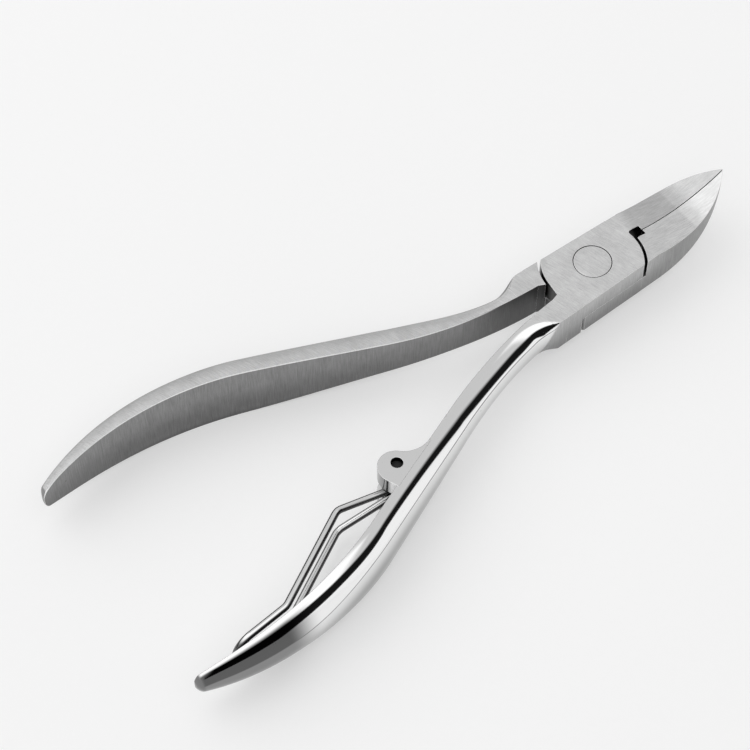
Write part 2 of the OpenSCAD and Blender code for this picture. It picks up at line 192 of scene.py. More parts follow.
def half_height(x):
    if x > LOW_X:
        return blend(JOINT_H - ROOT_LEDGE, NECK_H / 2, ease(x, PAD_X, LOW_X))
    if x > TALL_X:
        return blend(NECK_H / 2, HANDLE_H / 2, ease(x, LOW_X, TALL_X))
    return HANDLE_H / 2 * math.sqrt(1 - ((TALL_X - x) / ROUND_LEN) ** 2) * end_round(x)


def ease_out(x, start, length):
    """Rises at once from 0 at start and levels off at 1 after the length, towards -X."""
    share = min(1.0, max(0.0, (start - x) / length))
    return 1 - (1 - share) ** 2


def roll(x):
    """How far across the handle its rounding reaches from the outer edge, 0 to 1."""
    return ease_out(x, PAD_X, 2 * ROLL_LEN)


def crease(x, which):
    """How high the outer face's edge stays, as a share of the inner one."""
    neck, middle, end = CREASE[which]
    neck_x = PAD_X - ROLL_LEN
    if x > neck_x:
        return blend(1, neck, ease_out(x, PAD_X, ROLL_LEN))
    if x > CREASE_MIDDLE_X[1]:
        return blend(neck, middle, ease(x, neck_x, CREASE_MIDDLE_X[0]))
    return blend(middle, end, ease(x, CREASE_MIDDLE_X[1], CREASE_END_X))


# ---------------------------------------------------------------- mesh helpers
def new_object(name, points, faces):
    """A closed mesh object with its faces turned outwards."""
    mesh = bpy.data.meshes.new(name)
    mesh.from_pydata([tuple(point) for point in points], [], faces)
    shape = bpy.data.objects.new(name, mesh)
    bpy.context.scene.collection.objects.link(shape)
    face_outwards(mesh)
    return shape


def face_outwards(mesh):
    work = bmesh.new()
    work.from_mesh(mesh)
    bmesh.ops.recalc_face_normals(work, faces=work.faces)
    work.to_mesh(mesh)
    work.free()


def move(shape, matrix):
    """Moves the vertices themselves, so the object stays at the origin."""
    shape.data.transform(matrix)
    face_outwards(shape.data)
    return shape


def combine(shape, other, operation):
    """Applies an exact union, difference or intersection and removes the other solid."""
    modifier = shape.modifiers.new("combine", "BOOLEAN")
    modifier.operation = operation
    modifier.solver = "EXACT"
    modifier.object = other
    depsgraph = bpy.context.evaluated_depsgraph_get()
    result = bpy.data.meshes.new_from_object(shape.evaluated_get(depsgraph))
    shape.modifiers.clear()
    old = shape.data
    shape.data = result
    bpy.data.meshes.remove(old)
    bpy.data.meshes.remove(other.data)
    return shape


def add(shape, other):
    return combine(shape, other, "UNION")


def cut(shape, other):
    return combine(shape, other, "DIFFERENCE")


def prism(name, outline, low, high):
    """An outline in X and Y, raised from low to high."""
    count = len(outline)
    points = [(x, y, low) for x, y in outline] + [(x, y, high) for x, y in outline]
    faces = [list(range(count)), list(range(count, 2 * count))]
    faces += [[i, (i + 1) % count, count + (i + 1) % count, count + i] for i in range(count)]
    return new_object(name, points, faces)


def arc(centre, radius, start, end, steps=None):
    """Points from angle start to angle end, in radians."""
    steps = steps or max(2, math.ceil(abs(end - start) / (2 * math.pi) * ARC_STEPS))
    return [(centre[0] + radius * math.cos(blend(start, end, i / steps)),
             centre[1] + radius * math.sin(blend(start, end, i / steps)))
            for i in range(steps + 1)]


def cylinder(name, radius, low, high, centre=(0, 0)):
    return prism(name, arc(centre, radius, 0, 2 * math.pi)[:-1], low, high)


def loft(name, rings):
    """Closed rings of points joined one to the next, with a face over each end."""
    count = len(rings[0])
    points = [point for ring in rings for point in ring]
    faces = [[i * count + k, i * count + (k + 1) % count,
              (i + 1) * count + (k + 1) % count, (i + 1) * count + k]
             for i in range(len(rings) - 1) for k in range(count)]
    last = (len(rings) - 1) * count
    faces += [list(range(count)), [last + k for k in range(count)]]
    return new_object(name, points, faces)


def lathe(name, profile, sides=ARC_STEPS):
    """A profile of (radius, z) from the bottom to the top, turned about Z."""
    rings = [[(r * math.cos(2 * math.pi * k / sides), r * math.sin(2 * math.pi * k / sides), z)
              for k in range(sides)] for r, z in profile]
    return loft(name, rings)


# ---------------------------------------------------------------- the two levers
def handle_section(x, which):
    """One section, from the bottom inner edge round the outside to the top inner edge."""
    y0 = inner_y(x)
    t = thickness(x, which) * math.sqrt(1 + inner_slope(x) ** 2)
    h = half_height(x)
    share = blend(PAD_SHARE, CROWN_SHARE, ease(x, ROOT_X, PAD_SHARE_X))
    width = roll(x)
    drop = h * (1 - crease(x, which)) * CROWN_SHARE ** CROWN_POWER
    crown = []
    for i in range(CROWN_STEPS + 1):
        v = 1 - (1 - i / CROWN_STEPS) ** blend(PAD_BUNCHING, 1, width)
        turned = max(0.0, v - 1 + width) / width if width else 0.0
        crown.append((y0 + v * share * t, h - drop * turned ** CROWN_POWER))
    edge_z = crown[-1][1]
    outer = []
    for i in range(1, OUTER_STEPS):
        z = blend(-edge_z, edge_z, i / OUTER_STEPS)
        outer.append((y0 + t - (1 - share) * t * (z / edge_z) ** 2, z))
    return ([(x, y, -z) for y, z in crown] + [(x, y, z) for y, z in outer]
            + [(x, y, z) for y, z in reversed(crown)])


def handle(which):
    start, end = ROOT_X + ROOT_OVERLAP, -HANDLE_REACH
    places = [blend(start, end, (i / STATIONS) ** STATION_BUNCHING) for i in range(STATIONS)]
    places += [end + END_ROUND * (1 - math.sin(math.pi / 2 * i / END_STATIONS))
               for i in range(END_STATIONS + 1)]
    places = sorted(set(places), reverse=True)
    return loft("handle", [handle_section(x, which) for x in places])


def side_w(x, side):
    """Distance from the centre line to a side of the joint."""
    return side[0] - side[1] * min(x, PLATE_R)


def root_block(which, side):
    """Full-thickness block that carries the handle, on the +Y side, up to the pivot."""
    outer = inner_y(ROOT_X) + PAD_T[which] * math.sqrt(1 + inner_slope(ROOT_X) ** 2)
    back_x = -math.sqrt(PLATE_R ** 2 - CROTCH_BACK_Y ** 2)
    return prism("root", [(ROOT_X, inner_y(ROOT_X) - ROOT_LEDGE), CROTCH[which],
                          (back_x, CROTCH_BACK_Y), (0, CROTCH_BACK_Y), (0, side_w(0, side)),
                          (SPARE - PLATE_R, side_w(SPARE - PLATE_R, side)),
                          (ROOT_X, outer + ROOT_LEDGE)],
                 -JOINT_H, JOINT_H)


def jaw(side):
    """A jaw on the +Y side: outline and side view together, relieved and notched."""
    outline = [(0, CUT_GAP / 2), (0, side_w(0, side))]
    for i in range(1, JAW_STEPS):
        x = JAW_REACH * (1 - (1 - i / JAW_STEPS) ** JAW_BUNCHING)
        width = side_w(x, side) * (1 - (x / JAW_REACH) ** side[2])
        if width > CUT_GAP:
            outline.append((x, width))
    outline.append((JAW_REACH - TIP_FLAT, CUT_GAP / 2))
    shape = prism("jaw", outline, -2 * JOINT_H, 4 * JOINT_H)

    half_chord = math.sqrt(HOLLOW_R ** 2 - (HOLLOW_R - HOLLOW_DEPTH) ** 2)
    lowest = JOINT_H - HOLLOW_DEPTH
    top = [(-SPARE, JOINT_H), (HOLLOW_X - half_chord, JOINT_H)]
    front = JAW_REACH + 0.01
    for i in range(1, JAW_STEPS + 1):
        x = blend(HOLLOW_X - half_chord, front, i / JAW_STEPS)
        top.append((x, lowest + HOLLOW_R - math.sqrt(HOLLOW_R ** 2 - (x - HOLLOW_X) ** 2)))
    belly = []
    for i in range(JAW_STEPS + 1):
        x = blend(front, BELLY_X, i / JAW_STEPS)
        belly.append((x, BELLY_R - JOINT_H - math.sqrt(BELLY_R ** 2 - (x - BELLY_X) ** 2)))
    slab = prism("slab", top + belly + [(-SPARE, -JOINT_H)], -2 * side[0], SPARE)
    move(slab, Matrix.Rotation(math.pi / 2, 4, "X"))
    combine(shape, slab, "INTERSECT")

    low = -JOINT_H - SPARE
    groove = prism("groove", [(-SPARE, JOINT_H - LAND_H), (CUT_GAP / 2, JOINT_H - LAND_H),
                              (RELIEF_HALF_W, low), (-SPARE, low)],
                   PLATE_R, PLATE_R + JAW_REACH)
    move(groove, Matrix(((0, 0, 1, 0), (1, 0, 0, 0), (0, 1, 0, 0), (0, 0, 0, 1))))
    cut(shape, groove)
    half, corner = NOTCH_W / 2, NOTCH_CORNER_R
    rear, front = PLATE_R - NOTCH_BACK + corner, PLATE_R + NOTCH_LEN
    outline = (arc((rear, half - corner), corner, math.pi / 2, math.pi)
               + arc((rear, corner - half), corner, math.pi, 1.5 * math.pi)
               + [(front, -half), (front, half)])
    notch = prism("notch", outline, -2 * JOINT_H, 2 * JOINT_H)
    return cut(shape, notch)


def joint_plate(handle_side, jaw_side):
    """Round plate of the lap joint, clipped by the tool's two sides, on the top half."""
    reach = PLATE_R + SPARE
    plate = prism("plate", arc((0, 0), PLATE_R, 0, 2 * math.pi)[:-1], LAP_GAP / 2, JOINT_H)
    clip = prism("clip", [(-reach, -side_w(-reach, handle_side)),
                          (reach, -side_w(reach, handle_side)),
                          (reach, side_w(reach, jaw_side)),
                          (-reach, side_w(-reach, jaw_side))], -SPARE, 2 * JOINT_H)
    return combine(plate, clip, "INTERSECT")


FLIP_Y = Matrix.Scale(-1, 4, (0, 1, 0))
FLIP_Z = Matrix.Scale(-1, 4, (0, 0, 1))


def lever(which, handle_side, jaw_side):
    """A lever with its handle on the -Y side and its plate on top."""
    shape = move(root_block(which, handle_side), FLIP_Y)
    blade = jaw(jaw_side)
    if which == "lower":
        move(blade, FLIP_Z)
    add(shape, blade)
    cut(shape, cylinder("shoulder", SHOULDER_R, -2 * JOINT_H, LAP_GAP / 2))
    add(shape, joint_plate(handle_side, jaw_side))
    add(shape, move(handle(which), FLIP_Y))
    return shape


AT_BOSS = (Matrix.Translation((-BOSS_X, -inner_y(-BOSS_X), 0))
           @ Matrix.Rotation(math.pi + SPLAY, 4, "Z") @ FLIP_Y)
BOSS_H = 2 * half_height(-BOSS_X)


def boss():
    """The boss that carries the spring pin, in line with the handle's sloping top."""
    out = BOSS_PIN_OUT - BOSS_IN
    reach = math.sqrt((BOSS_R + BOSS_FILLET_R) ** 2 - (BOSS_FILLET_R - out) ** 2)
    touch = math.atan2(BOSS_FILLET_R - out, reach)
    outline = arc((0, out), BOSS_R, 0, math.pi - touch, BOSS_STEPS)
    outline += arc((-reach, BOSS_FILLET_R), BOSS_FILLET_R, -touch, -math.pi / 2,
                   FILLET_STEPS)
    outline += [(-reach, -BOSS_SEAT), (BOSS_R, -BOSS_SEAT)]
    outline = [(x + BOSS_ALONG, y) for x, y in outline]
    shape = prism("boss", outline, -BOSS_H, BOSS_H)
    rise = ((half_height(-BOSS_X - BOSS_REACH) - half_height(-BOSS_X + BOSS_REACH))
            / (2 * BOSS_REACH) * math.cos(SPLAY))
    for corner in shape.data.vertices:
        level = BOSS_H / 2 + rise * corner.co.x
        corner.co.z = math.copysign(level, corner.co.z)
    return shape


def upper_lever():
    shape = lever("upper", RIGHT_SIDE, LEFT_SIDE)
    add(shape, move(boss(), AT_BOSS))
    cut(shape, cylinder("bore", RIVET_R, -2 * JOINT_H, 2 * JOINT_H))
    eye = (0, BOSS_PIN_OUT)
    cut(shape, move(cylinder("pin_bore", PIN_R, -BOSS_H, BOSS_H, eye), AT_BOSS))
    pocket_r = EYE_R + WIRE_R + POCKET_CLEARANCE
    cut(shape, move(cylinder("pocket", pocket_r, -SLOT_H / 2, SLOT_H / 2, eye), AT_BOSS))
    along, out = SLOT_BLOCK
    slot = prism("slot", [(-along, 0), (along, 0), (along, out), (-along, out)],
                 -SLOT_H / 2, SLOT_H / 2)
    return cut(shape, move(slot, AT_BOSS))


def lower_lever():
    shape = move(lever("lower", LEFT_SIDE, RIGHT_SIDE), Matrix.Rotation(math.pi, 4, "X"))
    return cut(shape, cylinder("bore", RIVET_R + RIVET_CLEARANCE, -2 * JOINT_H, 2 * JOINT_H))


def pivot_rivet():
    (groove_w, groove_h), (lip_w, lip_h), r = RIVET_GROOVE, RIVET_LIP, RIVET_R - PIN_SLIP
    half = [(r, JOINT_H - groove_h), (r - groove_w, JOINT_H - lip_h),
            (r - groove_w - lip_w, JOINT_H)]
    return lathe("rivet", [(radius, -z) for radius, z in reversed(half)] + half)


def spring_pin():
    end = BOSS_H / 2 - PIN_RECESS
    inner, outer = PIN_R - PIN_CHAMFER, PIN_R - PIN_SLIP
    shape = lathe("pin", [(inner, -end), (outer, -end + PIN_CHAMFER),
                          (outer, end - PIN_CHAMFER), (inner, end)], ARC_STEPS // 2)
    return move(shape, Matrix.Translation(PIN))


# ---------------------------------------------------------------- the wire spring
def heading(start, end):
    return math.atan2(end.y - start.y, end.x - start.x)


def wire_arc(centre, radius, start, end):
    """Centre points of an arc, each with its heading."""
    turn = math.copysign(1, end - start)
    steps = max(2, math.ceil(abs(end - start) / BEND_STEP))
    places = []
    for i in range(steps + 1):
        angle = blend(start, end, i / steps)
        side = Vector((math.sin(angle), -math.cos(angle)))
        places.append((centre + turn * radius * side, angle))
    return places


def wire_bend(corner, start, end):
    turn = math.copysign(1, end - start)
    back = Vector((math.cos(start), math.sin(start)))
    aside = Vector((-math.sin(start), math.cos(start)))
    centre = (corner - WIRE_BEND_R * math.tan(abs(end - start) / 2) * back
              + turn * WIRE_BEND_R * aside)
    return wire_arc(centre, WIRE_BEND_R, start, end)


def return_spring():
    """An eye round the pin, a leg with two bends, the far U-bend, and back the same way."""
    leg = heading(Vector((0, 0)), KNEE) + math.asin(EYE_R / KNEE.length)
    middle, last = heading(KNEE, FOOT), heading(FOOT, WIRE_END)
    spread_start = KNEE - (KNEE.x - SPREAD_X) * Vector((1, math.tan(leg)))
    path = (wire_arc(Vector((0, 0)), EYE_R, leg - EYE_WRAP, leg)
            + [(spread_start, leg)] + wire_bend(KNEE, leg, middle) + wire_bend(FOOT, middle, last)
            + [(WIRE_END, last)])

    def ring(place, u, v, radius=WIRE_R):
        points = []
        for k in range(WIRE_SIDES):
            turn = 2 * math.pi * k / WIRE_SIDES
            points.append(place + radius * (math.cos(turn) * u + math.sin(turn) * v))
        return points

    half = []
    up = Vector((0, 0, 1))
    for place, angle in path:
        side = Vector((math.sin(angle), -math.cos(angle), 0))
        share = min(1, max(0, (place.x - SPREAD_X) / (KNEE.x - SPREAD_X)))
        height = blend(WIRE_PITCH, WIRE_SPREAD, share) / 2
        half.append(ring(Vector((place.x, place.y, height)), up, side))
    first, angle = path[0]
    nose = Vector((first.x, first.y, WIRE_PITCH / 2))
    back = -Vector((math.cos(angle), math.sin(angle), 0))
    side = Vector((math.sin(angle), -math.cos(angle), 0))
    half.insert(0, ring(nose + WIRE_NOSE[0] * back, up, side, WIRE_R - WIRE_NOSE[1]))
    side = Vector((math.sin(last), -math.cos(last), 0))
    for i in range(1, FAR_STEPS + 1):
        turn = math.pi / 2 * i / FAR_STEPS
        u = Vector((math.sin(turn) * math.cos(last), math.sin(turn) * math.sin(last),
                    math.cos(turn)))
        centre = Vector((WIRE_END.x, WIRE_END.y, 0)) + WIRE_SPREAD / 2 * u
        half.append(ring(centre, u, side))
    rest = [[Vector((p.x, p.y, -p.z)) for p in points] for points in reversed(half[:-1])]
    shape = loft("spring", half + rest)
    return move(shape, AT_BOSS @ Matrix.Translation((0, BOSS_PIN_OUT, 0)))


# ---------------------------------------------------------------- materials
class Graph:
    """A short way to write the nodes of a material or a world."""

    def __init__(self, owner):
        owner.use_nodes = True
        self.tree = owner.node_tree
        self.tree.nodes.clear()

    def node(self, kind, settings=None, **inputs):
        made = self.tree.nodes.new(kind)
        for key, value in (settings or {}).items():
            setattr(made, key, value)
        for key, value in inputs.items():
            socket = made.inputs[int(key[1:])] if key[0] == "_" else made.inputs[key]
            if isinstance(value, bpy.types.NodeSocket):
                self.tree.links.new(value, socket)
            else:
                socket.default_value = value
        return made

    def math(self, operation, a, b=0.0, c=0.0):
        return self.node("ShaderNodeMath", {"operation": operation}, _0=a, _1=b, _2=c).outputs[0]

    def step(self, value, low, high, smooth=True):
        """0 below low, 1 above high."""
        kind = "SMOOTHSTEP" if smooth else "LINEAR"
        made = self.node("ShaderNodeMapRange", {"interpolation_type": kind},
                         Value=value, _1=low, _2=high)
        return made.outputs[0]

    def mix(self, share, a, b):
        made = self.node("ShaderNodeMix", {"data_type": "FLOAT"}, _0=share, _2=a, _3=b)
        return made.outputs[0]

    def invert(self, value):
        return self.math("SUBTRACT", 1.0, value)

    def grey(self, value):
        made = self.node("ShaderNodeCombineColor", None, Red=value, Green=value, Blue=value)
        return made.outputs[0]

    def noise(self, vector, scale, detail=2.0, rough=0.5):
        made = self.node("ShaderNodeTexNoise", {"noise_dimensions": "3D"}, Vector=vector,
                         Scale=scale, Detail=detail, Roughness=rough)
        return made.outputs["Fac"]

    def strokes(self, vector, degrees, scale):
        """Noise turned about Z and stretched, for brush strokes along one direction."""
        made = self.node("ShaderNodeMapping", {"vector_type": "TEXTURE"}, Vector=vector,
                         Rotation=(0, 0, math.radians(degrees)), Scale=scale)
        return self.noise(made.outputs[0], 1.0, 3)


TOP_FACE = (0.5, 0.75)     # upright share of a normal from which a face counts as top
JAW_BRUSH_X = (8.0, 9.5)   # where the strokes turn from along the joint to across the jaw
BRUSH_JAW = (-4, (1.8, 0.1, 1))        # turn in degrees and stretch of the brush strokes
BRUSH_FLAT = (14, (0.07, 1.6, 1))
BRUSH_SIDE = (0, (0.13, 0.5, 3))
FINE_SCALE, CLOUD_SCALE, PIT_SCALE = 9.0, 0.3, 1.1
FINE_SHARE, CLOUD_SHARE, CLOUD_ROUGH = 0.5, 0.5, 0.2
PIT_LEVEL = (0.80, 0.83)   # noise above which the surface is pitted
PIT_VALUE = 0.7
GAP_REACH = 3.0            # how far from a wall a gap's painted shade starts to darken
# Painted shade in gaps: how open a place must be to stay unshaded, and the darkest value.
GAP_OPENNESS, GAP_SHADE_VALUE = (0.05, 0.8), 0.03
# The notch's walls are painted near black as shade.
NOTCH_SHADE_VALUE = 0.01
EDGE_R = 0.13              # rounding of every edge
BUMP_STRENGTH, BUMP_DEPTH = 0.2, 0.02
# Edges are painted pale, partly as wear and partly as a painted highlight, where the strokes are
# deep and nothing shuts the edge in.
POLISHED_DEPTH, SATIN_DEPTH = 0.1, 0.4
WEAR_HIGHLIGHT_TURN, WEAR_HIGHLIGHT_OPENNESS = (0.99, 0.9), (0.3, 0.7)
WEAR_HIGHLIGHT_VALUE, WEAR_HIGHLIGHT_METAL = 0.95, 0.3
SATIN_METAL = 0.5          # satin tops scatter light more than bare metal would


def steel(name, finish_and_shading):
    """Steel with brush strokes, pits, painted shade in its gaps and softly rounded edges.

    finish_and_shading(graph, local, normal, top) gives the brightness, painted light and shade
    included, the roughness and the depth of the strokes, from the place in millimetres round the
    pivot and the way a face looks.
    """
    material = bpy.data.materials.new(name)
    graph = Graph(material)
    place = graph.node("ShaderNodeTexCoord")
    vector = graph.node("ShaderNodeVectorMath", {"operation": "SUBTRACT"},
                        _0=place.outputs["Object"], _1=tuple(PIVOT)).outputs[0]
    vector = graph.node("ShaderNodeVectorMath", {"operation": "SCALE"},
                        _0=vector, Scale=1 / MM).outputs[0]
    local = graph.node("ShaderNodeSeparateXYZ", None, _0=vector).outputs
    normal = graph.node("ShaderNodeSeparateXYZ", None, _0=place.outputs["Normal"]).outputs
    top = graph.step(graph.math("ABSOLUTE", normal[2]), *TOP_FACE)
    value, rough, depth = finish_and_shading(graph, local, normal, top)

    on_jaw = graph.step(local[0], *JAW_BRUSH_X)
    flat = graph.mix(on_jaw, graph.strokes(vector, *BRUSH_FLAT),
                     graph.strokes(vector, *BRUSH_JAW))
    upright = graph.strokes(vector, *BRUSH_SIDE)
    strokes = graph.math("SUBTRACT", graph.mix(top, upright, flat), 0.5)
    fine = graph.math("SUBTRACT", graph.noise(vector, FINE_SCALE, 2), 0.5)
    cloud = graph.math("SUBTRACT", graph.noise(vector, CLOUD_SCALE, 4, 0.6), 0.5)
    height = graph.math("MULTIPLY", strokes, depth)
    cloudy = graph.math("MULTIPLY", cloud, depth)

    shade = graph.math("ADD", height, 1.0)
    shade = graph.math("MULTIPLY_ADD", graph.math("MULTIPLY", fine, depth), FINE_SHARE, shade)
    shade = graph.math("MULTIPLY_ADD", cloudy, CLOUD_SHARE, shade)
    pits = graph.step(graph.noise(vector, PIT_SCALE, 1), *PIT_LEVEL)
    shade = graph.math("MULTIPLY", shade, graph.mix(pits, 1.0, PIT_VALUE))
    # Painted shade: the colour darkens where the place is shut in, in gaps and recesses and next
    # to the floor.
    openness = graph.node("ShaderNodeAmbientOcclusion", {"samples": 8},
                          Distance=GAP_REACH * MM).outputs["AO"]
    open_share = graph.step(openness, *GAP_OPENNESS)
    shade = graph.math("MULTIPLY", shade, graph.mix(open_share, GAP_SHADE_VALUE, 1.0))
    value = graph.math("MULTIPLY", value, shade)
    # The notch's walls are painted near black as shade.
    value = graph.mix(in_notch(graph, local, top), value, NOTCH_SHADE_VALUE)
    rough = graph.math("MULTIPLY_ADD", cloudy, CLOUD_ROUGH, rough)

    rounded = graph.node("ShaderNodeBevel", {"samples": 6}, Radius=EDGE_R * MM)
    plain = graph.node("ShaderNodeNewGeometry").outputs["True Normal"]
    turned = graph.node("ShaderNodeVectorMath", {"operation": "DOT_PRODUCT"},
                        _0=rounded.outputs[0], _1=plain).outputs["Value"]
    metallic = 1.0
    if not isinstance(depth, float) or depth > POLISHED_DEPTH:
        satin = graph.step(depth, POLISHED_DEPTH, SATIN_DEPTH)
        # Pale edges: partly wear, partly a painted highlight.
        wear_and_highlight = graph.math("MULTIPLY", graph.step(turned, *WEAR_HIGHLIGHT_TURN), satin)
        wear_and_highlight = graph.math("MULTIPLY", wear_and_highlight, graph.step(openness, *WEAR_HIGHLIGHT_OPENNESS))
        value = graph.mix(wear_and_highlight, value, WEAR_HIGHLIGHT_VALUE)
        metallic = graph.mix(graph.math("MULTIPLY", top, satin), 1.0, SATIN_METAL)
        metallic = graph.mix(wear_and_highlight, metallic, WEAR_HIGHLIGHT_METAL)
    bump = graph.node("ShaderNodeBump", None, Height=height, Strength=BUMP_STRENGTH,
                      Distance=BUMP_DEPTH * MM, Normal=rounded.outputs[0])
    shader = graph.node("ShaderNodeBsdfPrincipled", None, Roughness=rough,
                        Metallic=metallic, Normal=bump.outputs[0])
    graph.tree.links.new(graph.grey(value), shader.inputs["Base Color"])
    output = graph.node("ShaderNodeOutputMaterial")
    graph.tree.links.new(shader.outputs[0], output.inputs[0])
    return material


def in_notch(graph, local, top):
    """1 on the walls of the notch behind the cutting edges."""
    aside = graph.math("ABSOLUTE", local[1])
    along = graph.math("ABSOLUTE", graph.math("SUBTRACT", local[0], PLATE_R + NOTCH_LEN / 2))
    inside = graph.math("MULTIPLY", graph.step(aside, NOTCH_W / 2 + 0.1, NOTCH_W / 2 + 0.05),
                        graph.step(along, NOTCH_LEN / 2 + 0.5, NOTCH_LEN / 2 + 0.2))
    return graph.math("MULTIPLY", inside, graph.invert(top))


def height_curve(graph, local, height):
    """The height of a line along a handle, from a function of x."""
    node = graph.tree.nodes.new("ShaderNodeFloatCurve")
    curve = node.mapping.curves[0]
    for i in range(CURVE_POINTS + 1):
        share = i / CURVE_POINTS
        level = height(blend(-HANDLE_REACH, PAD_X, share)) / (HANDLE_H / 2)
        if 0 < i < CURVE_POINTS:
            curve.points.new(share, level)
        else:
            curve.points[0 if i == 0 else -1].location = (share, level)
    node.mapping.update()
    along = graph.step(local[0], -HANDLE_REACH, PAD_X, False)
    graph.tree.links.new(along, node.inputs["Value"])
    return graph.math("MULTIPLY", node.outputs[0], HANDLE_H / 2)


def crease_height(x):
    """Height of the edge between the polished handle's rounding and its outer face."""
    return half_height(x) * (1 - (1 - crease(x, "upper")) * CROWN_SHARE ** CROWN_POWER)


# Places along X, and brightness from dark to bright, much of it painted light and shade, that the
# finishes share.
TIP_HIGHLIGHT_LINE = (17.4, 18.0)    # where the painted highlight on the tips starts
JAW_START = (8.0, 11.0)
THIN_START = (-70.0, -76.0)
END_START = (1.0 - HANDLE_REACH, 0.5 - HANDLE_REACH)
PAD_END = (-16.0, -12.0)
SATIN_EDGE = (0.675, 0.738, 0.47, 11.84)   # direction in X, Y and Z, and distance
BOSS_ROUND = (3.7, 3.5)    # distance from the pin within which the boss's side is painted dark as shade
JOINT_SIDE_SHADE = (0.24, 0.5)   # painted shade on the joint's sides: brightness at the bottom and at the top
# The last two are painted darks: a dark reflection on the thin end, and the dark of the crease
# line and of the handle's end.
BRIGHT, THIN_END_DARK_REFLECTION, DARK_LINE = 0.93, 0.12, 0.2
# Roughness and stroke depth.
MIRROR, SATIN, SATIN_SIDE = (0.05, 0.02), (0.17, 0.7), (0.36, 0.8)
HANDLE_TOP_ROUGH, JOINT_TOP_ROUGH = 0.5, 0.18
WIRE, BORE = (0.1, 0.03), (0.5, 0.3)


def distance(graph, x, y):
    return graph.math("SQRT", graph.math("MULTIPLY_ADD", x, x, graph.math("MULTIPLY", y, y)))


def upper_finish_and_shading(graph, local, normal, top):
    """Satin joint and jaw, mirror-polished handle: the change runs aslant over the pad."""
    x, y, z = local[0], local[1], local[2]
    slant = graph.math("MULTIPLY_ADD", y, SATIN_EDGE[1], SATIN_EDGE[3])
    slant = graph.math("MULTIPLY_ADD", x, SATIN_EDGE[0], slant)
    below = graph.math("SUBTRACT", JOINT_H, z)
    satin = graph.step(graph.math("MULTIPLY_ADD", below, SATIN_EDGE[2], slant), -0.2, 0.2)
    # Painted shade: the satin sides are darker than the tops, and darker towards the bottom.
    side = graph.mix(graph.step(z, -JOINT_H, JOINT_H), *JOINT_SIDE_SHADE)
    # Painted highlight: the jaw's top is brighter past the tip line.
    jaw = graph.mix(graph.step(x, *TIP_HIGHLIGHT_LINE), 0.53, 0.64)
    jaw_top = graph.mix(graph.step(x, *JAW_START), 0.70, jaw)

    # The handle: bright rounding, painted shade darker towards the lower edge outside, and a thin
    # end painted dark as a dark reflection.
    outward = graph.math("MULTIPLY", normal[1], -1.0)
    outside = graph.step(outward, 0.3, 0.6)
    edge = height_curve(graph, local, crease_height)
    over = graph.math("SUBTRACT", graph.math("ABSOLUTE", z), edge)
    above = graph.step(over, -0.05, 0.05)
    lower = graph.mix(graph.step(graph.math("SUBTRACT", z, edge), -5.0, -0.3), 0.3, 0.85)
    thin = graph.step(x, *THIN_START)
    polished = graph.mix(above, graph.mix(thin, lower, 0.27), graph.mix(thin, BRIGHT, THIN_END_DARK_REFLECTION))
    polished = graph.mix(outside, BRIGHT, polished)
    inside = graph.math("MULTIPLY", graph.step(outward, 0.1, -0.1), graph.invert(top))
    polished = graph.mix(inside, polished, 0.7)

    # Painted shade on the side of the boss, a painted dark reflection as a hair line along the
    # outer edge, and the end painted dark as shade.
    from_pin = distance(graph, graph.math("SUBTRACT", x, PIN.x),
                        graph.math("SUBTRACT", y, PIN.y))
    boss_side = graph.math("MULTIPLY", graph.step(from_pin, *BOSS_ROUND), graph.invert(top))
    polished = graph.mix(boss_side, polished, 0.3)
    line = graph.step(graph.math("ABSOLUTE", over), 0.09, 0.03)
    polished = graph.mix(graph.math("MULTIPLY", line, outside), polished, DARK_LINE)
    polished = graph.mix(graph.step(x, *END_START), polished, DARK_LINE)
    return (graph.mix(satin, polished, graph.mix(top, side, jaw_top)),
            graph.mix(satin, MIRROR[0], graph.mix(top, SATIN_SIDE[0], SATIN[0])),
            graph.mix(satin, MIRROR[1], SATIN[1]))


def lower_finish_and_shading(graph, local, normal, top):
    """Satin all over, more deeply brushed on the sides, with painted light and shade: bright on
    top, darker on the sides.
    """
    x, z = local[0], local[2]
    # Painted shade on the sides: darker towards the bottom, darkest on the handle next to the
    # joint.
    level = graph.step(z, -JOINT_H, JOINT_H)
    side = graph.mix(level, 0.17, 0.27)
    side = graph.mix(graph.step(x, -26.0, -12.0), side, 0.1)
    side = graph.mix(graph.step(x, -8.3, -8.0), side, graph.mix(level, *JOINT_SIDE_SHADE))
    side = graph.mix(graph.step(x, 5.0, 14.0), side, 0.3)

    # Painted highlight: a pale line along the ground edge at the top of the handle's inner face.
    over = graph.math("SUBTRACT", z, height_curve(graph, local, half_height))
    edge = graph.math("MULTIPLY", graph.step(over, -0.32, -0.22), graph.step(x, -16.0, -20.0))
    edge = graph.math("MULTIPLY", edge, graph.step(normal[1], -0.5, -0.8))
    side = graph.mix(edge, side, 1.0)

    # Painted shade: the handle's top darkens away from its inner edge, where its rounding turns
    # down.
    handle_top = graph.mix(graph.step(over, -1.6, -0.1), 0.36, 0.62)
    # Painted highlight: the jaw's top is brighter past the tip line.
    jaw = graph.mix(graph.step(x, *TIP_HIGHLIGHT_LINE), 0.67, 0.82)
    flat_top = graph.mix(graph.step(x, -20.0, -12.0), handle_top, jaw)
    top_rough = graph.mix(graph.step(x, *PAD_END), HANDLE_TOP_ROUGH, JOINT_TOP_ROUGH)
    return (graph.mix(top, side, flat_top), graph.mix(top, SATIN_SIDE[0], top_rough),
            graph.mix(top, SATIN_SIDE[1], SATIN[1]))


